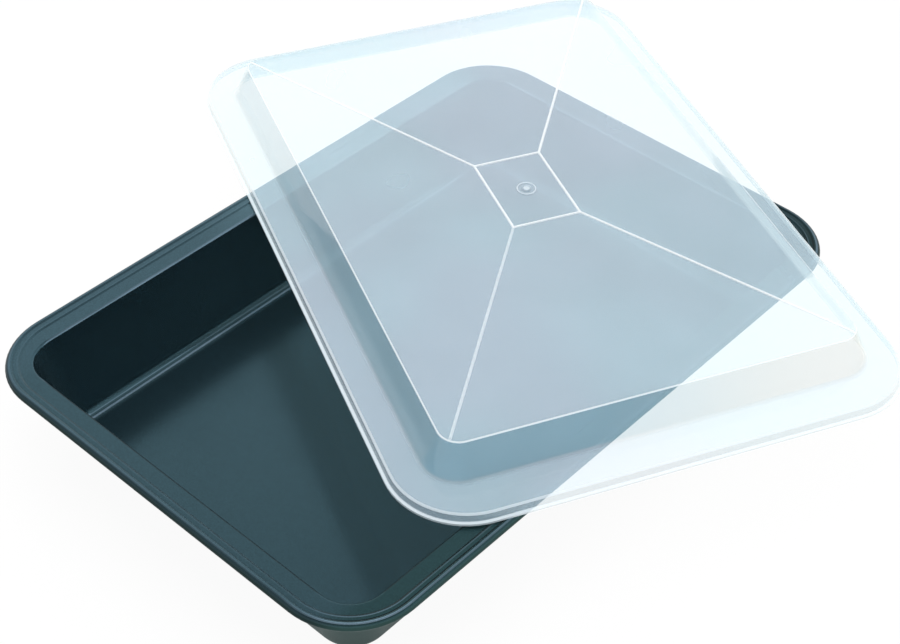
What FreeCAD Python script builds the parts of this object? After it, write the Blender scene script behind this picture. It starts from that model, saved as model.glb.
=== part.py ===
import FreeCAD, Part
import math
import os
import Sketcher

# Covered baking pan: a drawn sheet-metal pan with a flat rim and a rolled edge, and its moulded
# clear lid, which lies turned across the rim. Millimetres, +Z up. The origin is the centre of the
# pan's flat underside, and X runs along the pan's long side.

doc = FreeCAD.newDocument("CoveredBakingPan")
sheet = doc.addObject("Spreadsheet::Sheet", "Sizes")

# Driving sizes: alias, value, meaning
drivingSizes = [
    ("PanLength", 365, "pan over its rolled edge"),
    ("PanWidth", 252, "pan over its rolled edge"),
    ("PanHeight", 52, "underside to the top of the rolled edge"),
    ("SheetThickness", 0.8, "thickness of the pan's sheet"),
    ("RimWidth", 15, "outer edge to the mouth"),
    ("RimCorner", 37, "corner radius of the outer edge"),
    ("WallCorner", 18, "radius between two walls, on the inside"),
    ("WallDraft", 12, "lean of the pan's walls, degrees"),
    ("FloorBend", 7, "inside bend between wall and floor"),
    ("MouthBend", 1.2, "bend between wall and rim, on the upper side"),
    ("BeadRadius", 2.2, "rolled edge, closed round its wire"),
    ("BeadProud", 0.45, "rolled edge above the land beside it"),
    ("LandWidth", 6.2, "outer edge to the head of the step"),
    ("StepRise", 0.55, "land above the flat of the rim"),
    ("StepRun", 0.8, "length of the sloping step"),
    ("LidWall", 1.1, "thickness of the lid"),
    ("LidClearance", 0.5, "pan's outer edge to the lid's skirt when the lid is on straight"),
    ("LidCorner", 38, "corner radius of the lip"),
    ("LipReach", 1.2, "lip beyond the foot of the skirt"),
    ("SkirtLean", 1.2, "lean of the skirt, from lip to flange"),
    ("SkirtHeight", 5, "lip's underside to the top of the flange"),
    ("FlangeSide", 14.6, "flange between skirt and dome along the long sides"),
    ("FlangeEnd", 18.9, "flange between skirt and dome along the short ends"),
    ("FlangeEdgeChamfer", 0.8, "chamfer along the flange's outer edge"),
    ("FootCorner", 18, "corner radius at the foot of the dome"),
    ("FootBend", 2, "bend between flange and dome"),
    ("DomeRise", 18, "dome above the flange"),
    ("DomeDraft", 24, "lean of the dome's walls, degrees"),
    ("DomeEdgeBend", 1.2, "rounding of the dome's top edge"),
    ("DishLand", 0.8, "flat between the dome's rounded corners and the dished panels"),
    ("DishDepth", 2, "fall of the four panels to the middle of the top"),
    ("MiddleLength", 53, "flat rectangle in the middle of the top"),
    ("MiddleWidth", 36.5, "flat rectangle in the middle of the top"),
    ("RibWidth", 1.6, "rib along each fold of the top, across its root"),
    ("RibTop", 0.7, "flat top of the rib"),
    ("RibHeight", 0.4, "rib above the panels"),
    ("RibRoot", 0.3, "depth of the rib's root in the wall"),
    ("GateRing", 9.5, "ring round the gate mark, diameter"),
    ("GateNub", 5, "gate mark, diameter"),
    ("GateHeight", 0.6, "gate mark above the flat rectangle"),
    ("LidTurnAngle", 63.5, "turn of the lid on the pan, degrees"),
    ("LidAlong", 77, "middle of the lid from the middle of the pan, along X"),
    ("LidAcross", 5, "middle of the lid from the middle of the pan, along Y"),
]
for row, (alias, number, meaning) in enumerate(drivingSizes, start=1):
    sheet.set("A%d" % row, meaning)
    sheet.set("B%d" % row, str(number))
    sheet.setAlias("B%d" % row, alias)
doc.recompute()

# Sizes that follow from the driving ones, as expressions. Pan: heights of the rim, run of the wall
landTop = "(Sizes.PanHeight - Sizes.BeadProud)"
rimTop = "(%s - Sizes.StepRise)" % landTop
stepFoot = "(Sizes.LandWidth + Sizes.StepRun)"
mouthLength = "(Sizes.PanLength - 2 * Sizes.RimWidth)"
mouthWidth = "(Sizes.PanWidth - 2 * Sizes.RimWidth)"
wallTan = "tan(Sizes.WallDraft * 1 deg)"
wallAcross = "(Sizes.SheetThickness / cos(Sizes.WallDraft * 1 deg))"

# Lid: its outlines from the lip inwards, and the heights of its faces
lipBeyond = "(Sizes.LidClearance + Sizes.LidWall + Sizes.SkirtLean + Sizes.LipReach)"
lipLength = "(Sizes.PanLength + 2 * %s)" % lipBeyond
lipWidth = "(Sizes.PanWidth + 2 * %s)" % lipBeyond
flangeInset = "(Sizes.LipReach + Sizes.SkirtLean)"
footLength = "(%s - 2 * %s - 2 * Sizes.FlangeEnd)" % (lipLength, flangeInset)
footWidth = "(%s - 2 * %s - 2 * Sizes.FlangeSide)" % (lipWidth, flangeInset)
domeTan = "tan(Sizes.DomeDraft * 1 deg)"
domeRun = "(Sizes.DomeRise * %s)" % domeTan
flangeUnder = "(Sizes.SkirtHeight - Sizes.LidWall)"
domeTop = "(Sizes.SkirtHeight + Sizes.DomeRise)"
middleTop = "(%s - Sizes.DishDepth)" % domeTop
cutOff = "(1 - sqrt(0.5))"
dishInset = "(%s + %s * (Sizes.FootCorner - %s) + Sizes.DishLand)" % (domeRun, cutOff, domeRun)
dishLength = "(%s - 2 * %s)" % (footLength, dishInset)
dishWidth = "(%s - 2 * %s)" % (footWidth, dishInset)

# From the dome's outside, at any height, to its inside one wall thickness lower
domeAcross = "(Sizes.LidWall * (1 / cos(Sizes.DomeDraft * 1 deg) - %s))" % domeTan

quarterTurn = math.pi / 2
upwards = FreeCAD.Vector(0, 0, 1)


def point(x, y):
    return FreeCAD.Vector(x, y, 0)


def size(alias):
    return float(sheet.get(alias))


def originOf(body, role):
    """The plane or axis of the body's origin that has a role, such as XY_Plane."""
    return [feature for feature in body.Origin.OriginFeatures if feature.Role == role][0]


def newSketch(body, name, role, height="0"):
    """A sketch on one of the body's own origin planes, lifted by an expression."""
    sketch = body.newObject("Sketcher::SketchObject", name)
    sketch.AttachmentSupport = [(originOf(body, role), "")]
    sketch.MapMode = "FlatFace"
    sketch.setExpression("AttachmentOffset.Base.z", height)
    return sketch


def sizeOf(sketch, name, constraint, expression):
    """A dimension of the sketch that follows an expression."""
    index = sketch.addConstraint(constraint)
    sketch.renameConstraint(index, name)
    sketch.setExpression("Constraints." + name, expression)


def roundedRectangle(body, name, height, length, width, corner, halved=False):
    """Rounded rectangle about the origin. A halved one starts in the middle of its +X side."""
    sketch = newSketch(body, name, "XY_Plane", height)
    a, b, r = 60.0, 40.0, 10.0

    def cornerArc(x, y, quarter):
        circle = Part.Circle(point(x, y), upwards, r)
        return Part.ArcOfCircle(circle, quarter * quarterTurn, (quarter + 1) * quarterTurn)

    pieces = [
        Part.LineSegment(point(a, 0 if halved else r - b), point(a, b - r)),
        cornerArc(a - r, b - r, 0),
        Part.LineSegment(point(a - r, b), point(r - a, b)),
        cornerArc(r - a, b - r, 1),
        Part.LineSegment(point(-a, b - r), point(-a, r - b)),
        cornerArc(r - a, r - b, 2),
        Part.LineSegment(point(r - a, -b), point(a - r, -b)),
        cornerArc(a - r, r - b, 3),
    ]
    if halved:
        pieces.append(Part.LineSegment(point(a, r - b), point(a, 0)))
    sketch.addGeometry(pieces, False)
    last = len(pieces) - 1
    for piece in range(last):
        sketch.addConstraint(Sketcher.Constraint("Tangent", piece, 2, piece + 1, 1))
    if halved:
        sketch.addConstraint(Sketcher.Constraint("Coincident", last, 2, 0, 1))
        sketch.addConstraint(Sketcher.Constraint("Vertical", last))
        sketch.addConstraint(Sketcher.Constraint("PointOnObject", 0, 1, -1))
    else:
        sketch.addConstraint(Sketcher.Constraint("Tangent", last, 2, 0, 1))
    for line, direction in ((0, "Vertical"), (2, "Horizontal"), (4, "Vertical"), (6, "Horizontal")):
        sketch.addConstraint(Sketcher.Constraint(direction, line))
    for arc in (3, 5, 7):
        sketch.addConstraint(Sketcher.Constraint("Equal", 1, arc))
    sketch.addConstraint(Sketcher.Constraint("Symmetric", 1, 3, 5, 3, -1, 1))
    sizeOf(sketch, "Length", Sketcher.Constraint("DistanceX", 4, 1, 0, 2, 2 * a), length)
    sizeOf(sketch, "Width", Sketcher.Constraint("DistanceY", 6, 1, 2, 1, 2 * b), width)
    sizeOf(sketch, "Corner", Sketcher.Constraint("Radius", 1, r), corner)
    return sketch


def loft(body, kind, name, lower, upper):
    feature = body.newObject("PartDesign::%sLoft" % kind, name)
    feature.Profile = upper
    feature.Sections = [lower]
    feature.Ruled = True
    return feature


def wedge(body, kind, name, low, high, foot, head):
    """A block with four leaning sides, from a foot rectangle at one height to a head at another."""
    feature = body.newObject("PartDesign::%sWedge" % kind, name)
    feature.AttachmentSupport = [(originOf(body, "XZ_Plane"), "")]
    feature.MapMode = "FlatFace"
    feature.setExpression("Ymin", low)
    feature.setExpression("Ymax", high)
    for side, (length, width) in (("", foot), ("2", head)):
        feature.setExpression("X%smin" % side, "-%s / 2" % length)
        feature.setExpression("X%smax" % side, "%s / 2" % length)
        feature.setExpression("Z%smin" % side, "-%s / 2" % width)
        feature.setExpression("Z%smax" % side, "%s / 2" % width)
    return feature


def extrude(body, kind, name, profile, length, lean=None, downwards=False):
    """A Pad or Pocket of a profile, with its sides leaning inwards by an angle if one is given."""
    feature = body.newObject("PartDesign::" + kind, name)
    feature.Profile = profile
    feature.Reversed = downwards
    feature.setExpression("Length", length)
    if lean:
        feature.setExpression("TaperAngle", lean)
    return feature


def sweep(body, name, profile, path):
    feature = body.newObject("PartDesign::AdditivePipe", name)
    feature.Profile = profile
    feature.Spine = (path, [""])
    return feature


def edgesBetween(feature, low, high):
    """The feature's edges that run just from one height to another."""
    return [edge for edge in feature.Shape.Edges
            if abs(edge.BoundBox.ZMin - low) < 1e-4 and abs(edge.BoundBox.ZMax - high) < 1e-4]


def fillet(body, name, base, edges, radius, chamfered=False):
    """Fillet of some of the base's edges, or a chamfer whose size is that radius."""
    feature = body.newObject("PartDesign::Chamfer" if chamfered else "PartDesign::Fillet", name)
    names = ["Edge%d" % number for number, edge in enumerate(base.Shape.Edges, start=1)
             if any(edge.isSame(other) for other in edges)]
    feature.Base = (base, names)
    feature.setExpression("Size" if chamfered else "Radius", radius)
    return feature


def bend(body, name, base, height, radius, innermost=False, chamfered=False):
    """Fillet along the outermost closed loop of edges at a height, or along the innermost."""
    doc.recompute()
    loops = sorted(Part.sortEdges(edgesBetween(base, height, height)),
                   key=lambda loop: Part.Wire(loop).BoundBox.DiagonalLength)
    return fillet(body, name, base, loops[0 if innermost else -1], radius, chamfered)


# The pan's bowl, still solid: four drafted walls from floor to rim. Its hollow is a body of its own
pan = doc.addObject("PartDesign::Body", "PanBody")
hollow = doc.addObject("PartDesign::Body", "PanHollow")
sheetTop = size("SheetThickness")
rimLevel = size("PanHeight") - size("BeadProud") - size("StepRise")


def wallRectangle(height, outwards="0"):
    """Length and width between the walls' inner faces at a height, or a step outwards of that."""
    inwards = "((%s - %s) * %s - %s)" % (rimTop, height, wallTan, outwards)
    return ("(%s - 2 * %s)" % (mouthLength, inwards), "(%s - 2 * %s)" % (mouthWidth, inwards))


def bowlShape(body, name, low, outwards, bendRadius, lowLevel):
    """Drafted block with rounded corners and a bend round its floor; the last feature of it."""
    block = wedge(body, "Additive", name, low, rimTop, wallRectangle(low, outwards),
                  wallRectangle(rimTop, outwards))
    doc.recompute()
    corners = fillet(body, name + "Corners", block, edgesBetween(block, lowLevel, rimLevel),
                     "Sizes.WallCorner + " + bendRadius)
    return bend(body, name + "FloorBend", corners, lowLevel, "Sizes.FloorBend + " + bendRadius)


bowl = bowlShape(pan, "Bowl", "0", wallAcross, "Sizes.SheetThickness", 0)
inside = bowlShape(hollow, "Inside", "Sizes.SheetThickness", "0", "0", sheetTop)

# Flat of the rim, up to the foot of the step
rimOutline = roundedRectangle(
    pan, "RimOutline", rimTop,
    "Sizes.PanLength - 2 * %s" % stepFoot,
    "Sizes.PanWidth - 2 * %s" % stepFoot,
    "Sizes.RimCorner - %s" % stepFoot)
rim = extrude(pan, "Pad", "Rim", rimOutline, "Sizes.SheetThickness", downwards=True)


def hemSection():
    """Section of the step, the land and the closed bead; x points outwards and y upwards."""
    sketch = newSketch(pan, "HemSection", "XZ_Plane")
    metal, radius = size("SheetThickness"), size("BeadRadius")
    centre, middle = size("PanLength") / 2 - radius, size("PanHeight") - radius
    head = centre + radius - size("LandWidth")
    foot = head - size("StepRun")
    land = size("PanHeight") - size("BeadProud")
    flat = land - size("StepRise")
    beadStart = centre - math.sqrt(radius ** 2 - (land - middle) ** 2)
    beadEnd = centre - math.sqrt(radius ** 2 - (land - metal - middle) ** 2)
    sketch.addGeometry([
        Part.LineSegment(point(foot - metal, flat), point(foot, flat)),
        Part.LineSegment(point(foot, flat), point(head, land)),
        Part.LineSegment(point(head, land), point(beadStart, land)),
        Part.Arc(point(beadStart, land), point(centre + radius, middle),
                 point(beadEnd, land - metal)),
        Part.LineSegment(point(beadEnd, land - metal), point(head, land - metal)),
        Part.LineSegment(point(head, land - metal), point(foot, flat - metal)),
        Part.LineSegment(point(foot, flat - metal), point(foot - metal, flat - metal)),
        Part.LineSegment(point(foot - metal, flat - metal), point(foot - metal, flat)),
    ], False)
    clockwise = 3
    for piece in range(8):
        following = (piece + 1) % 8
        leave = 1 if piece == clockwise else 2
        enter = 2 if following == clockwise else 1
        sketch.addConstraint(Sketcher.Constraint("Coincident", piece, leave, following, enter))
    for line in (0, 2, 4, 6):
        sketch.addConstraint(Sketcher.Constraint("Horizontal", line))
    sketch.addConstraint(Sketcher.Constraint("Vertical", 7))
    sketch.addConstraint(Sketcher.Constraint("Vertical", 1, 2, 5, 1))
    sketch.addConstraint(Sketcher.Constraint("Vertical", 1, 1, 5, 2))
    sizeOf(sketch, "Bead", Sketcher.Constraint("Radius", 3, radius), "Sizes.BeadRadius")
    origin = (-1, 1)
    for name, kind, first, second, drawn, expression in (
            ("BeadOut", "DistanceX", origin, (3, 3), centre,
             "Sizes.PanLength / 2 - Sizes.BeadRadius"),
            ("BeadUp", "DistanceY", origin, (3, 3), middle, "Sizes.PanHeight - Sizes.BeadRadius"),
            ("HeadOut", "DistanceX", origin, (1, 2), head, "Sizes.PanLength / 2 - Sizes.LandWidth"),
            ("FootOut", "DistanceX", origin, (0, 2), foot, "Sizes.PanLength / 2 - " + stepFoot),
            ("Lap", "DistanceX", (0, 1), (0, 2), metal, "Sizes.SheetThickness"),
            ("LandUp", "DistanceY", origin, (1, 2), land, landTop),
            ("FlatUp", "DistanceY", origin, (0, 2), flat, rimTop),
            ("LandMetal", "DistanceY", (5, 1), (1, 2), metal, "Sizes.SheetThickness"),
            ("FlatMetal", "DistanceY", (6, 1), (0, 2), metal, "Sizes.SheetThickness")):
        sizeOf(sketch, name, Sketcher.Constraint(kind, *first, *second, drawn), expression)
    return sketch


# Step and rolled edge, one section carried round the rim
rimEdge = roundedRectangle(pan, "RimEdge", rimTop, "Sizes.PanLength", "Sizes.PanWidth",
                           "Sizes.RimCorner", halved=True)
hem = sweep(pan, "Hem", hemSection(), rimEdge)

# The hollow is cut down through the rim, and the sheet bends over at the mouth
hollowCut = pan.newObject("PartDesign::Boolean", "HollowCut")
hollowCut.setObjects([hollow])
hollowCut.Type = "Cut"
mouth = bend(pan, "Mouth", hollowCut, rimLevel, "Sizes.MouthBend", innermost=True)

# The lid, in its own frame: z = 0 is the underside of its lip
lid = doc.addObject("PartDesign::Body", "LidBody")
flangeLevel = size("SkirtHeight")
domeLevel = flangeLevel + size("DomeRise")


def lidOutline(name, height, length, width, corner, inset="0"):
    return roundedRectangle(lid, name, height, "%s - 2 * %s" % (length, inset),
                            "%s - 2 * %s" % (width, inset), "%s - %s" % (corner, inset))


# Lip, skirt and flange
skirtLean = "atan(Sizes.SkirtLean / Sizes.SkirtHeight)"
lipOutline = lidOutline("LipOutline", "0", lipLength, lipWidth, "Sizes.LidCorner")
lip = extrude(lid, "Pad", "Lip", lipOutline, "Sizes.LidWall")
skirtFoot = lidOutline("SkirtFoot", "0", lipLength, lipWidth, "Sizes.LidCorner", "Sizes.LipReach")
skirt = extrude(lid, "Pad", "Skirt", skirtFoot, "Sizes.SkirtHeight", "-" + skirtLean)
flangeEdge = bend(lid, "FlangeEdge", skirt, flangeLevel, "Sizes.FlangeEdgeChamfer",
                  chamfered=True)

# Dome, with a rounded top edge and a bend at its foot
domeFoot = lidOutline("DomeFoot", "Sizes.SkirtHeight", footLength, footWidth, "Sizes.FootCorner")
dome = extrude(lid, "Pad", "Dome", domeFoot, "Sizes.DomeRise", "-Sizes.DomeDraft")
domeEdge = bend(lid, "DomeEdgeRounded", dome, domeLevel, "Sizes.DomeEdgeBend")
footAbove = bend(lid, "FootBendAbove", domeEdge, flangeLevel, "Sizes.FootBend", innermost=True)

# The lid's inside: one cut up to the flange, one on up into the dome
skirtInside = lidOutline("SkirtInside", "0", lipLength, lipWidth, "Sizes.LidCorner",
                         "(Sizes.LipReach + Sizes.LidWall)")
flangeHollow = extrude(lid, "Pocket", "FlangeHollow", skirtInside, flangeUnder, "-" + skirtLean,
                       downwards=True)
footInside = lidOutline("FootInside", flangeUnder, footLength, footWidth, "Sizes.FootCorner",
                        domeAcross)
domeHollow = extrude(lid, "Pocket", "DomeHollow", footInside, "Sizes.DomeRise",
                     "-Sizes.DomeDraft", downwards=True)
footUnder = bend(lid, "FootBendUnder", domeHollow, flangeLevel - size("LidWall"),
                 "Sizes.FootBend + Sizes.LidWall", innermost=True)

# Dished top: four panels that fall to a flat rectangle, first below and then above
dish = (("Sizes.MiddleLength", "Sizes.MiddleWidth"), (dishLength, dishWidth))
dishUnder = wedge(lid, "Additive", "DishUnder", "(%s - Sizes.LidWall)" % middleTop,
                  "(%s - Sizes.LidWall)" % domeTop, *dish)
dishAbove = wedge(lid, "Subtractive", "DishAbove", middleTop, domeTop, *dish)


def ribSection(name, role, out, across, up, turn="0"):
    """Section of a rib: its root sunk in the wall, its flat top a rib height proud of it."""
    sketch = newSketch(lid, name, role, out)
    sketch.AttachmentOffset = FreeCAD.Placement(FreeCAD.Vector(),
                                                FreeCAD.Rotation(FreeCAD.Vector(0, 1, 0), 1))
    sketch.setExpression("AttachmentOffset.Rotation.Angle", turn)
    sketch.setExpression("AttachmentOffset.Base.x", across)
    sketch.setExpression("AttachmentOffset.Base.y", up)
    corners = [point(-2, -1), point(2, -1), point(1, 1), point(-1, 1)]
    sketch.addGeometry([Part.LineSegment(corners[side - 1], corners[side])
                        for side in range(4)], False)
    root, top = 1, 3
    for side in range(4):
        sketch.addConstraint(Sketcher.Constraint("Coincident", side, 2, (side + 1) % 4, 1))
    for side in (root, top):
        sketch.addConstraint(Sketcher.Constraint("Symmetric", side, 1, side, 2, -2))
    sizeOf(sketch, "Root", Sketcher.Constraint("DistanceX", root, 1, root, 2, 4.0),
           "Sizes.RibWidth")
    sizeOf(sketch, "Top", Sketcher.Constraint("DistanceX", top, 2, top, 1, 2.0), "Sizes.RibTop")
    sizeOf(sketch, "Proud", Sketcher.Constraint("DistanceY", -1, 1, top, 1, 1.0),
           "Sizes.RibHeight")
    sizeOf(sketch, "Sunk", Sketcher.Constraint("DistanceY", root, 1, -1, 1, 1.0),
           "Sizes.RibRoot")
    return sketch


def middleOutline():
    """The middle rectangle as a path with sharp corners, from the middle of its +X side."""
    sketch = newSketch(lid, "MiddleFold", "XY_Plane", middleTop)
    corners = [point(30, 0), point(30, 20), point(-30, 20), point(-30, -20), point(30, -20),
               point(30, 0)]
    sketch.addGeometry([Part.LineSegment(corners[side], corners[side + 1])
                        for side in range(5)], False)
    for side in range(5):
        sketch.addConstraint(Sketcher.Constraint("Coincident", side, 2, (side + 1) % 5, 1))
    for side, direction in enumerate(("Vertical", "Horizontal", "Vertical", "Horizontal",
                                      "Vertical")):
        sketch.addConstraint(Sketcher.Constraint(direction, side))
    sketch.addConstraint(Sketcher.Constraint("PointOnObject", 0, 1, -1))
    sketch.addConstraint(Sketcher.Constraint("Symmetric", 0, 2, 2, 2, -1, 1))
    sizeOf(sketch, "Length", Sketcher.Constraint("DistanceX", 1, 2, 1, 1, 60.0),
           "Sizes.MiddleLength")
    sizeOf(sketch, "Width", Sketcher.Constraint("DistanceY", 2, 2, 2, 1, 40.0),
           "Sizes.MiddleWidth")
    return sketch


# Ribs along the folds: one round the middle rectangle, and one out to each corner of the top
middleRib = sweep(lid, "MiddleRib",
                  ribSection("MiddleRibSection", "XZ_Plane", "0", "Sizes.MiddleLength / 2",
                             middleTop), middleOutline())
middleRib.Transition = "Right corner"

hipInner = ["(%s / 2)" % side for side in ("Sizes.MiddleLength", "Sizes.MiddleWidth")]
hipOuter = ["(%s / 2)" % side for side in (dishLength, dishWidth)]
hipTurn = "atan((%s - %s) / (%s - %s))" % (hipOuter[1], hipInner[1], hipOuter[0], hipInner[0])
for corner, (east, north) in enumerate(((1, 1), (-1, 1), (-1, -1), (1, -1)), start=1):
    ends = []
    for end, place, height in (("Inner", hipInner, middleTop), ("Outer", hipOuter, domeTop)):
        ends.append(ribSection("Hip%s%d" % (end, corner), "YZ_Plane",
                               "%d * %s" % (east, place[0]), "%d * %s" % (north, place[1]),
                               height, "%d * %s" % (east * north, hipTurn)))
    if east < 0:
        ends.reverse()
    loft(lid, "Additive", "HipRib%d" % corner, *ends)

# Gate mark in the middle: a low nub with a thin ring round it
nubOutline = newSketch(lid, "NubOutline", "XY_Plane", "%s - Sizes.RibRoot" % middleTop)
nubOutline.addGeometry(Part.Circle(point(0, 0), upwards, 2.0), False)
nubOutline.addConstraint(Sketcher.Constraint("Coincident", 0, 3, -1, 1))
sizeOf(nubOutline, "Diameter", Sketcher.Constraint("Diameter", 0, 4.0), "Sizes.GateNub")
nub = extrude(lid, "Pad", "Nub", nubOutline, "Sizes.GateHeight + Sizes.RibRoot")

ring = lid.newObject("PartDesign::Revolution", "Ring")
ring.Profile = ribSection("RingSection", "XZ_Plane", "0", "Sizes.GateRing / 2", middleTop)
ring.ReferenceAxis = (originOf(lid, "Z_Axis"), [""])
ring.Angle = 360

# The lid lies turned on the rolled edge of the pan
lid.Placement = FreeCAD.Placement(FreeCAD.Vector(), FreeCAD.Rotation(upwards, 1))
lid.setExpression("Placement.Rotation.Angle", "Sizes.LidTurnAngle * 1 deg")
lid.setExpression("Placement.Base.x", "Sizes.LidAlong")
lid.setExpression("Placement.Base.y", "Sizes.LidAcross")
lid.setExpression("Placement.Base.z", "Sizes.PanHeight")

pan.Label = "baking_tray"
lid.Label = "clear_lid"
doc.recompute()

# Nothing is written unless every object has come out whole
for item in doc.Objects:
    if "Invalid" in item.State or "Error" in item.State:
        raise RuntimeError("%s failed: %s" % (item.Name, item.State))
os.makedirs("parts", exist_ok=True)
for piece in (pan, lid):
    shape = piece.Shape
    if shape.isNull() or not shape.isValid() or len(shape.Solids) != 1:
        raise RuntimeError("%s is not one sound solid" % piece.Label)
    shape.exportStep("parts/%s.step" % piece.Label)
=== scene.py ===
# Baking tray with a rolled rim, and its clear lid lying turned across it.
# Everything is in metres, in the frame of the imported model.
import bpy
import math
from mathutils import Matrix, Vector

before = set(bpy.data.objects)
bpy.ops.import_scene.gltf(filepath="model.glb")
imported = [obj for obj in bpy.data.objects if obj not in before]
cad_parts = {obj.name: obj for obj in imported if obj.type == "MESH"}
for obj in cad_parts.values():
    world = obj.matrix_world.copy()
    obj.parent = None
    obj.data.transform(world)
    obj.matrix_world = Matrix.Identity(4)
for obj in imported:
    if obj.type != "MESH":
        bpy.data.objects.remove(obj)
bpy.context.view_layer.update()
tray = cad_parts["baking_tray"]
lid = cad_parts["clear_lid"]
print("loaded the frame:", sorted(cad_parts))

scene = bpy.context.scene
scene.view_settings.view_transform = "Standard"


# small helpers for node materials
def newMaterial(name):
    material = bpy.data.materials.new(name)
    material.use_nodes = True
    material.node_tree.nodes.clear()
    return material, material.node_tree


def feed(tree, socket, value):
    # a link where the value is another node's socket, else the value itself
    if isinstance(value, bpy.types.NodeSocket):
        tree.links.new(value, socket)
    else:
        socket.default_value = value


def put(tree, kind, place=(0, 0), inputs=None, **settings):
    node = tree.nodes.new("ShaderNode" + kind)
    node.location = place
    for key, value in settings.items():
        setattr(node, key, value)
    for key, value in (inputs or {}).items():
        feed(tree, node.inputs[key], value)
    return node


def mathOf(tree, operation, *values, clamp=False):
    node = put(tree, "Math", operation=operation, use_clamp=clamp)
    for slotNumber, value in enumerate(values):
        feed(tree, node.inputs[slotNumber], value)
    return node.outputs[0]


def times(tree, first, *others):
    for value in others:
        first = mathOf(tree, "MULTIPLY", first, value)
    return first


def largest(tree, first, *others):
    for value in others:
        first = mathOf(tree, "MAXIMUM", first, value)
    return first


def without(tree, value):
    return mathOf(tree, "SUBTRACT", 1.0, value)


def atLeast(tree, least, value):
    # the least value where the other is 0, rising to 1
    return mathOf(tree, "ADD", least, times(tree, value, 1.0 - least))


def above(tree, value, limit):
    return mathOf(tree, "GREATER_THAN", value, limit)


def below(tree, value, limit):
    return mathOf(tree, "LESS_THAN", value, limit)


def between(tree, value, low, high):
    # 0 at the first limit, 1 at the second, whichever is the larger
    node = put(tree, "MapRange", inputs={"Value": value, "From Min": low, "From Max": high})
    node.interpolation_type = "SMOOTHSTEP"
    return node.outputs["Result"]


def spread(tree, value, source, target):
    # carries the value from one range to another in a straight line
    node = put(tree, "MapRange", inputs={
        "Value": value, "From Min": source[0], "From Max": source[1],
        "To Min": target[0], "To Max": target[1]})
    return node.outputs["Result"]


softEdge = (1.15, 0.7)  # shares of a line's half width where it is gone, and where it is full


def band(tree, value, centre, half):
    # 1 on the centre line, 0 beyond the half width, with a soft edge
    away = mathOf(tree, "ABSOLUTE", mathOf(tree, "SUBTRACT", value, centre))
    return between(tree, away, *(half * share for share in softEdge))


def bands(tree, value, lines):
    total = 0.0
    for centre, half, strength in lines:
        total = largest(tree, total, times(tree, band(tree, value, centre, half), strength))
    return total


def dotXY(tree, first, second):
    return mathOf(tree, "ADD", times(tree, first["X"], second["X"]),
                  times(tree, first["Y"], second["Y"]))


def mixColour(tree, factor, first, second, blend="MIX"):
    return put(tree, "Mix", inputs={0: factor, 6: first, 7: second},
               data_type="RGBA", blend_type=blend).outputs[2]


def noise(tree, where, settings, place):
    # settings are scale, detail and roughness
    scale, detail, rough = settings
    return put(tree, "TexNoise", place, {
        "Vector": where, "Scale": scale, "Detail": detail, "Roughness": rough}).outputs["Fac"]


def finishSurface(tree, shader):
    out = put(tree, "OutputMaterial", (900, 0))
    tree.links.new(shader, out.inputs["Surface"])


def dress(piece, material, smoothAngle):
    # smooth across the bends, flat across the panels
    for slotNumber in range(len(piece.material_slots)):
        piece.material_slots[slotNumber].material = material
    if not piece.material_slots:
        piece.data.materials.append(material)
    piece.data.shade_smooth()
    piece.data.set_sharp_from_angle(angle=math.radians(smoothAngle))
    weighted = piece.modifiers.new("flat panels", "WEIGHTED_NORMAL")
    weighted.keep_sharp = True
    weighted.weight = 100


# tray: dark blue-grey non-stick coating on sheet steel
trayLook = {
    "coatDark": (0.038, 0.080, 0.099, 1),
    "coatPale": (0.055, 0.118, 0.148, 1),
    "coatOutside": (0.028, 0.064, 0.061, 1),
    "paintedHighlight": (0.22, 0.33, 0.42, 1),       # painted highlight lines on the bead and the bends
    "paintedShade": (0.006, 0.014, 0.016, 1),      # painted shade lines beside the bead and the step
    "grain": (1700, 3.0, 0.65),              # noise: scale, detail, roughness
    "grainFrom": (0.32, 0.68),
    "grainShare": 0.75,
    "fleckScale": 3000,
    "fleckFrom": (0.22, 0.05),
    "fleckShare": 0.4,
    "cloud": (14, 4.0, 0.6),
    "cloudFrom": (0.3, 0.7),
    "bumpDepth": 0.000006,
    "bumpStrength": 0.5,
    "roughness": (0.17, 0.27),
    "metallic": 0.85,
    "shine": 0.5,
    "outsideDuller": (0.15, 0.46, 0.70),     # roughness up, shine and metallic down
    "outsideFrom": (0.80, 0.45),             # upright share of the normal
    "underside": -0.3,
    "smoothAngle": 38,
}

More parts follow.
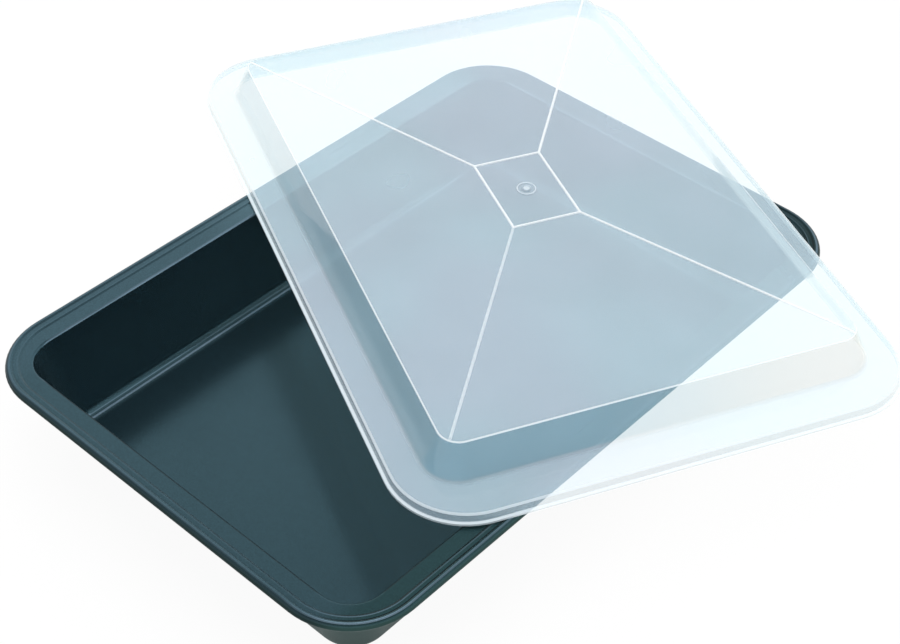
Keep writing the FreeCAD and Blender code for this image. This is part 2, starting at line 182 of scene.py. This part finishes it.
# where the rim's features lie; insets are inwards from the outer edge
rimLook = {
    "edge": (0.1825, 0.126, 0.037),          # half sizes and corner of the rolled edge
    "above": 0.0495,
    "upward": 0.3,
    # painted light and shade on the sides of the rim: across which places, and by how much
    "front": (-0.098, -0.114),
    "frontShade": (0.63, 0.76, 0.68, 1),
    "back": (0.098, 0.110),
    "backLight": (1.12, 1.10, 1.12, 1),
    "underLid": (-0.06, 0.02),
    "underLidLight": (1.8, 1.65, 1.6, 1),
    "right": (0.150, 0.166),
    "rightShade": (0.42, 0.48, 0.46, 1),
    # painted highlight and painted shade lines: inset, half width, strength
    "brightLines": ((0.0020, 0.00055, 0.50), (0.0058, 0.00030, 0.24)),
    "darkLines": ((0.0036, 0.00045, 0.85), (0.0067, 0.00045, 0.80)),
    "mouthLine": (0.0147, 0.00060, 0.70),
    "darkElsewhere": 0.15,                   # share of the painted shade lines on the sides but the front
    # share of the painted highlight lines on the sides but the front
    "brightElsewhere": 0.40,
    "cornerX": (-0.125, -0.160),             # painted highlight: the front corner shines more
    "cornerY": (-0.080, -0.112),
    "cornerShine": 1.5,
    "edgeFrom": (0.0024, 0.0008),            # painted shade on the outermost part, dark but at the front
    "edgeAbove": 0.0465,
    "edgeShade": 0.70,
    # painted shade: where the wall drops away from the light, the line of the mouth is dark;
    # elsewhere it is a painted highlight
    "shadedEndX": (-0.148, -0.160),
    "shadedEndY": (0.100, 0.085),
    "shadedFront": (-0.088, -0.102),
    "breakupFrom": (0.25, 0.60),
    "breakupLeast": 0.45,
    # painted highlight lines along the bend into the floor: upright share of the normal, half
    # width, strength
    "bendLines": ((0.915, 0.030, 0.95), (0.76, 0.022, 0.40)),
    "bendBelow": 0.012,
}


def insetFromEdge(tree, place):
    # distance inwards from the rounded rectangle of the rolled edge
    halfX, halfY, corner = rimLook["edge"]
    overX = mathOf(tree, "SUBTRACT", mathOf(tree, "ABSOLUTE", place["X"]), halfX - corner)
    overY = mathOf(tree, "SUBTRACT", mathOf(tree, "ABSOLUTE", place["Y"]), halfY - corner)
    out = {"X": largest(tree, overX, 0.0), "Y": largest(tree, overY, 0.0)}
    deep = mathOf(tree, "MINIMUM", largest(tree, overX, overY), 0.0)
    reach = mathOf(tree, "SQRT", dotXY(tree, out, out))
    return mathOf(tree, "SUBTRACT", mathOf(tree, "SUBTRACT", corner, reach), deep)


def rimLines(tree, place, way, away, atFront, onRim, cloud):
    # painted shade and painted highlight lines round the rim, and painted highlights along the
    # bend into the floor
    look = rimLook
    inset = insetFromEdge(tree, place)
    dark = times(tree, bands(tree, inset, look["darkLines"]),
                 atLeast(tree, look["darkElsewhere"], atFront))
    edge = times(tree, between(tree, inset, *look["edgeFrom"]), without(tree, atFront),
                 look["edgeShade"], above(tree, place["Z"], look["edgeAbove"]))
    corner = times(tree, between(tree, place["X"], *look["cornerX"]),
                   between(tree, place["Y"], *look["cornerY"]), look["cornerShine"])
    bright = times(tree, bands(tree, inset, look["brightLines"]), mathOf(
        tree, "ADD", atLeast(tree, look["brightElsewhere"], atFront), corner))
    atEnd = times(tree, between(tree, place["X"], *look["shadedEndX"]),
                  between(tree, place["Y"], *look["shadedEndY"]))
    shaded = largest(tree, between(tree, place["Y"], *look["shadedFront"]), atEnd)
    mouth = bands(tree, inset, (look["mouthLine"],))
    dark = times(tree, largest(tree, dark, times(tree, mouth, shaded)), onRim)
    bright = times(tree, largest(tree, bright, times(tree, mouth, without(tree, shaded))), onRim)
    # the painted highlights break up with the cloud noise
    highlightBreakup = between(tree, cloud, *look["breakupFrom"])
    bright = times(tree, bright, atLeast(tree, look["breakupLeast"], highlightBreakup))
    inside = times(tree, below(tree, away, 0.0), below(tree, place["Z"], look["bendBelow"]))
    bend = times(tree, bands(tree, way["Z"], look["bendLines"]), inside)
    return largest(tree, dark, edge), largest(tree, bright, bend)


def trayCoating():
    look, rim = trayLook, rimLook
    material, tree = newMaterial("nonStickCoating")
    where = put(tree, "TexCoord", (-1400, 0)).outputs["Object"]
    place = put(tree, "SeparateXYZ", (-1200, 500), {"Vector": where}).outputs
    normal = put(tree, "NewGeometry", (-1400, 700)).outputs["Normal"]
    way = put(tree, "SeparateXYZ", (-1200, 700), {"Vector": normal}).outputs
    grain = noise(tree, where, look["grain"], (-1100, 200))
    cloud = noise(tree, where, look["cloud"], (-1100, -100))
    fleck = put(tree, "TexVoronoi", (-1100, -400), {
        "Vector": where, "Scale": look["fleckScale"]})
    flecks = times(tree, between(tree, fleck.outputs["Distance"], *look["fleckFrom"]),
                   look["fleckShare"])
    tone = mathOf(tree, "ADD", times(tree, between(tree, grain, *look["grainFrom"]),
                                     look["grainShare"]), flecks, clamp=True)
    colour = mixColour(tree, tone, look["coatDark"], look["coatPale"])

    # painted light and shade on the rim along its sides
    onRim = times(tree, above(tree, place["Z"], rim["above"]),
                  above(tree, way["Z"], rim["upward"]))
    atFront = between(tree, place["Y"], *rim["front"])
    atBack = between(tree, place["Y"], *rim["back"])
    underLid = times(tree, atBack, between(tree, place["X"], *rim["underLid"]))
    atRight = between(tree, place["X"], *rim["right"])
    for atSide, key in ((atFront, "frontShade"), (atBack, "backLight"),
                        (underLid, "underLidLight"), (atRight, "rightShade")):
        sideLightShade = mixColour(tree, times(tree, atSide, onRim), (1, 1, 1, 1), rim[key])
        colour = mixColour(tree, 1.0, colour, sideLightShade, "MULTIPLY")

    # the duller outside: faces that look away from the middle, or down
    away = dotXY(tree, way, place)
    outside = times(tree, above(tree, away, 0.0), between(tree, way["Z"], *look["outsideFrom"]))
    outside = largest(tree, outside, below(tree, way["Z"], look["underside"]))
    colour = mixColour(tree, outside, colour, look["coatOutside"])
    # painted shade and painted highlight lines on the rim and the bend
    dark, bright = rimLines(tree, place, way, away, atFront, onRim, cloud)
    colour = mixColour(tree, dark, colour, look["paintedShade"])
    colour = mixColour(tree, bright, colour, look["paintedHighlight"])

    rougher, lessShine, lessMetal = look["outsideDuller"]
    rough = mathOf(tree, "ADD", spread(tree, cloud, look["cloudFrom"], look["roughness"]),
                   times(tree, outside, rougher))
    shine = mathOf(tree, "SUBTRACT", look["shine"], times(tree, outside, lessShine))
    metal = mathOf(tree, "SUBTRACT", look["metallic"], times(tree, outside, lessMetal))
    bump = put(tree, "Bump", (-200, -300), {
        "Height": mathOf(tree, "ADD", grain, flecks), "Strength": look["bumpStrength"],
        "Distance": look["bumpDepth"]})
    coat = put(tree, "BsdfPrincipled", (500, 0), {
        "Base Color": colour, "Roughness": rough, "Specular IOR Level": shine,
        "Normal": bump.outputs["Normal"], "Metallic": metal})
    finishSurface(tree, coat.outputs["BSDF"])
    return material


dress(tray, trayCoating(), trayLook["smoothAngle"])
print("tray coated")

# lid: clear moulded plastic with a slight haze
lidLook = {
    "tint": (0.65, 0.815, 1.0, 1),
    "tintCool": (0.61, 0.835, 1.0, 1),       # the haze drifts between these two
    "drift": (9, 1.0, 0.5),
    "driftFrom": (0.35, 0.65),
    "tintWall": (0.46, 0.78, 1.0, 1),
    "tintEdgeOn": (0.90, 0.97, 1.0, 1),
    "fadeAlong": {"X": 0.674, "Y": -0.738},  # the dome's walls grow clearer this way
    "fadeFrom": (0.07, 0.19),
    "fadeHaze": 0.35,
    # colour of the painted highlight lines on ribs, bends, edges and the gate mark
    "line": (0.92, 0.97, 1.0, 1),
    "clear": (1.0, 0.98, 0.94, 1),           # what the plastic lets through
    "haze": (0.28, 0.50),                    # facing, and edge on
    "edgeOnPower": 2.2,
    "cloud": (22, 2.0, 0.5),
    "cloudFrom": (0.3, 0.7),
    "cloudHaze": (0.96, 1.04),
    # how opaque the painted highlight lines are
    "lineHaze": 0.75,
    "cornerGlowHaze": 0.03,                      # painted pale glow: more haze where the dome's walls turn, for the pale highlights there
    "cornerFrom": (-0.008, 0.002),           # from the corner of the dished part
    "shadowShare": 0.35,                     # part of the haze that lamps see
    "roughness": 0.12,
    "coatRoughness": 0.05,
    "smoothAngle": 32,
    "place": (0.077, 0.005, 0.052),
    "turn": 63.5,                            # degrees
    "middle": (0.0265, 0.01825),             # half sizes of the flat rectangle
    "dish": (0.15346, 0.10126),              # half sizes of the dished part
    "foldHalf": 0.00075,
    "hipOverlap": (0.0003, 0.0008),          # how far a hip's line runs on at its two ends
    "dimHip": 0.55,                          # one hip's painted highlight shows fainter
    "dimBeyond": -0.0255,
    "gate": ((0.00475, 0.00040, 0.50), (0.0, 0.0017, 0.55)),   # painted highlight on the gate mark: radius, half width, strength
    "panelFoot": 0.0195,                     # everything above is the dished top
    # painted highlights on bends and chamfers: upright share of the normal between a wall's and
    # a panel's
    "bendFrom": ((0.44, 0.60), (0.985, 0.90)),
    "wall": (0.407, 0.12),
    "domeEdge": (0.0215, 0.9),               # painted highlight lines above this height, and their strength
    "flangeEdge": (0.0051, 0.6),             # painted highlight lines below this one
    # painted highlight along the lip
    "lipFrom": (0.0014, 0.0012),
    "lipShare": 0.7,
}


def lidFrame(tree, where):
    # coordinates of the lid itself, from the middle of its lip
    turned = put(tree, "Mapping", (-2000, 0), {
        "Vector": where, "Location": lidLook["place"],
        "Rotation": (0, 0, math.radians(lidLook["turn"]))}, vector_type="TEXTURE")
    parts = put(tree, "SeparateXYZ", (-1800, 0), {"Vector": turned.outputs["Vector"]}).outputs
    dimmed = times(tree, below(tree, parts["X"], lidLook["dimBeyond"]),
                   above(tree, parts["Y"], 0.0))
    return {"X": mathOf(tree, "ABSOLUTE", parts["X"]), "Y": mathOf(tree, "ABSOLUTE", parts["Y"]),
            "height": parts["Z"], "dimmed": dimmed}


def foldHighlightLines(tree, at):
    # painted highlight lines on the ribs from the middle rectangle out to the corners, round the
    # rectangle, and on the gate mark
    look = lidLook
    halfX, halfY = look["middle"]
    farX, farY = look["dish"]
    half = look["foldHalf"]
    inner, outer = look["hipOverlap"]
    slope = math.atan2(farY - halfY, farX - halfX)
    offset = halfX * math.sin(slope) - halfY * math.cos(slope)
    away = mathOf(tree, "SUBTRACT", times(tree, at["X"], math.sin(slope)),
                  times(tree, at["Y"], math.cos(slope)))
    hips = times(tree, band(tree, away, offset, half), above(tree, at["X"], halfX - inner),
                 below(tree, at["X"], farX + outer),
                 without(tree, times(tree, at["dimmed"], 1.0 - look["dimHip"])))
    sides = times(tree, band(tree, at["X"], halfX, half), below(tree, at["Y"], halfY + half))
    ends = times(tree, band(tree, at["Y"], halfY, half), below(tree, at["X"], halfX + half))
    radius = mathOf(tree, "SQRT", dotXY(tree, at, at))
    lines = largest(tree, hips, sides, ends, bands(tree, radius, look["gate"]))
    return times(tree, lines, above(tree, at["height"], look["panelFoot"]))


def edgeHighlightLines(tree, at, upright):
    # painted highlights where bends and chamfers catch the light
    look = lidLook
    rising, falling = look["bendFrom"]
    bends = times(tree, between(tree, upright, *rising), between(tree, upright, *falling))
    domeAbove, domeShare = look["domeEdge"]
    flangeBelow, flangeShare = look["flangeEdge"]
    share = mathOf(tree, "ADD", times(tree, above(tree, at["height"], domeAbove), domeShare),
                   times(tree, below(tree, at["height"], flangeBelow), flangeShare))
    lip = times(tree, between(tree, at["height"], *look["lipFrom"]), look["lipShare"])
    return largest(tree, times(tree, bends, share), lip)


def hazeOf(tree, at, where, edgeOn, walls, faded, lines):
    look = lidLook
    haze = spread(tree, edgeOn, (0.0, 1.0), look["haze"])
    cloud = noise(tree, where, look["cloud"], (-1100, 600))
    cloudy = spread(tree, cloud, look["cloudFrom"], look["cloudHaze"])
    haze = mathOf(tree, "MULTIPLY", haze, cloudy, clamp=True)
    # painted pale glow at the dome's corners
    corners = [between(tree, at[axis], far + look["cornerFrom"][0], far + look["cornerFrom"][1])
               for axis, far in zip("XY", look["dish"])]
    corners = times(tree, *corners, walls, look["cornerGlowHaze"])
    haze = mathOf(tree, "ADD", haze, corners, clamp=True)
    haze = times(tree, haze, without(tree, times(tree, faded, look["fadeHaze"])))
    haze = put(tree, "Mix", (-200, 0), {0: lines, 2: haze, 3: look["lineHaze"]}).outputs[0]
    shadow = put(tree, "LightPath", (-500, -500)).outputs["Is Shadow Ray"]
    let = without(tree, times(tree, shadow, 1.0 - look["shadowShare"]))
    return mathOf(tree, "MULTIPLY", haze, let, clamp=True)


def lidPlastic():
    look = lidLook
    material, tree = newMaterial("clearHazyPlastic")
    where = put(tree, "TexCoord", (-2200, 0)).outputs["Object"]
    at = lidFrame(tree, where)
    geometry = put(tree, "NewGeometry", (-1400, 300)).outputs
    upright = mathOf(tree, "ABSOLUTE", put(tree, "SeparateXYZ", (-1200, 300), {
        "Vector": geometry["Normal"]}).outputs["Z"])
    foldHighlights = foldHighlightLines(tree, at)
    # only the nearer skin of the sheet carries the painted highlight lines
    lines = times(tree, largest(tree, foldHighlights, edgeHighlightLines(tree, at, upright)),
                  without(tree, geometry["Backfacing"]))
    facing = put(tree, "LayerWeight", (-1100, -200), {"Blend": 0.5}).outputs["Facing"]
    edgeOn = mathOf(tree, "POWER", facing, look["edgeOnPower"])
    walls = band(tree, upright, *look["wall"])
    spot = put(tree, "SeparateXYZ", (-1300, 900), {"Vector": where}).outputs
    faded = times(tree, walls, between(tree, dotXY(tree, spot, look["fadeAlong"]),
                                       *look["fadeFrom"]))
    alpha = hazeOf(tree, at, where, edgeOn, walls, faded, lines)
    drift = between(tree, noise(tree, where, look["drift"], (-1100, 1200)), *look["driftFrom"])
    tint = mixColour(tree, drift, look["tint"], look["tintCool"])
    tint = mixColour(tree, mathOf(tree, "SUBTRACT", walls, faded), tint, look["tintWall"])
    tint = mixColour(tree, edgeOn, tint, look["tintEdgeOn"])
    # a rib is lit as the panel that it stands on
    flat = put(tree, "Mix", (200, -300), {0: foldHighlights, 4: geometry["Normal"], 5: (0.0, 0.0, 1.0)},
               data_type="VECTOR").outputs[1]
    plastic = put(tree, "BsdfPrincipled", (500, 0), {
        "Base Color": mixColour(tree, lines, tint, look["line"]), "Normal": flat,
        "Roughness": look["roughness"],
        "Coat Weight": 1.0, "Coat Roughness": look["coatRoughness"]})
    through = put(tree, "BsdfTransparent", (500, 300), {"Color": look["clear"]})
    mixed = put(tree, "MixShader", (700, 0), {
        0: alpha, 1: through.outputs[0], 2: plastic.outputs[0]})
    finishSurface(tree, mixed.outputs[0])
    return material


dress(lid, lidPlastic(), lidLook["smoothAngle"])
print("lid dressed")

# floor, white to the eye and still keeping the shadow
floorLook = {"side": 8.0, "glow": 1.0, "shareSeen": 0.94, "paper": (0.9, 0.9, 0.9, 1)}


def seenRays(tree):
    rays = put(tree, "LightPath", (-800, 300)).outputs
    return largest(tree, rays["Is Camera Ray"], rays["Is Glossy Ray"],
                   rays["Is Transmission Ray"])


def layFloor():
    look = floorLook
    half = look["side"] / 2
    mesh = bpy.data.meshes.new("floor")
    mesh.from_pydata([(-half, -half, 0), (half, -half, 0), (half, half, 0), (-half, half, 0)],
                     [], [(0, 1, 2, 3)])
    floor = bpy.data.objects.new("floor", mesh)
    scene.collection.objects.link(floor)
    material, tree = newMaterial("palePaper")
    paper = put(tree, "BsdfDiffuse", (0, 0), {"Color": look["paper"]})
    white = put(tree, "Emission", (0, -200), {"Color": (1, 1, 1, 1), "Strength": look["glow"]})
    mixed = put(tree, "MixShader", (300, 0), {
        0: times(tree, seenRays(tree), look["shareSeen"]), 1: paper.outputs[0],
        2: white.outputs[0]})
    finishSurface(tree, mixed.outputs[0])
    mesh.materials.append(material)


layFloor()

# light: a pale world and soft boxes
lightLook = {
    "world": 0.72,
    "backdrop": 1.0,               # what gloss sees low down, all round
    "overhead": 0.4,               # and what it sees straight above
    "backdropTop": (0.68, 0.88),
    "boxes": {
        "topBox": {"place": (0.05, 0.0, 1.6), "aim": (0.04, 0, 0), "size": 1.4, "power": 17},
        "backBox": {"place": (1.2, 1.1, 1.0), "aim": (0.1, 0, 0), "size": 1.0, "power": 6.5},
    },
}


def lightScene():
    look = lightLook
    world = bpy.data.worlds.new("studio")
    scene.world = world
    world.use_nodes = True
    tree = world.node_tree
    tree.nodes.clear()
    rays = put(tree, "LightPath", (-800, 300)).outputs
    towards = put(tree, "TexCoord", (-800, -300)).outputs["Generated"]
    upward = put(tree, "SeparateXYZ", (-600, -300), {"Vector": towards}).outputs["Z"]
    sky = spread(tree, upward, look["backdropTop"], (look["backdrop"], look["overhead"]))
    lit = put(tree, "Mix", (-200, 0), {0: rays["Is Glossy Ray"], 2: look["world"], 3: sky})
    seen = largest(tree, rays["Is Camera Ray"], rays["Is Transmission Ray"])
    strength = put(tree, "Mix", (0, 0), {0: seen, 2: lit.outputs[0], 3: 1.0})
    pale = put(tree, "Background", (300, 0), {
        "Color": (1, 1, 1, 1), "Strength": strength.outputs[0]})
    out = put(tree, "OutputWorld", (600, 0))
    tree.links.new(pale.outputs[0], out.inputs["Surface"])
    for name, box in look["boxes"].items():
        lamp = bpy.data.lights.new(name, "AREA")
        lamp.energy = box["power"]
        lamp.shape = "SQUARE"
        lamp.size = box["size"]
        holder = bpy.data.objects.new(name, lamp)
        scene.collection.objects.link(holder)
        holder.location = box["place"]
        aim = Vector(box["aim"]) - Vector(box["place"])
        holder.rotation_euler = aim.to_track_quat("-Z", "Y").to_euler()
        holder.visible_glossy = False


lightScene()
print("floor and light set")

# camera at the photograph's angle
cameraLook = {
    "place": (-0.4740, -0.42923, 0.6196),
    "turn": (47.5418, -1.2374, -47.5882),  # degrees about X, Y and Z
    "lens": 69.05,
    "sensor": 36,
    "clip": (0.05, 50),
}


def setCamera():
    look = cameraLook
    camera = bpy.data.cameras.new("camera")
    camera.lens = look["lens"]
    camera.sensor_width = look["sensor"]
    camera.sensor_fit = "HORIZONTAL"
    camera.clip_start, camera.clip_end = look["clip"]
    holder = bpy.data.objects.new("camera", camera)
    scene.collection.objects.link(holder)
    holder.location = look["place"]
    holder.rotation_euler = [math.radians(angle) for angle in look["turn"]]
    scene.camera = holder


setCamera()
print("camera set")
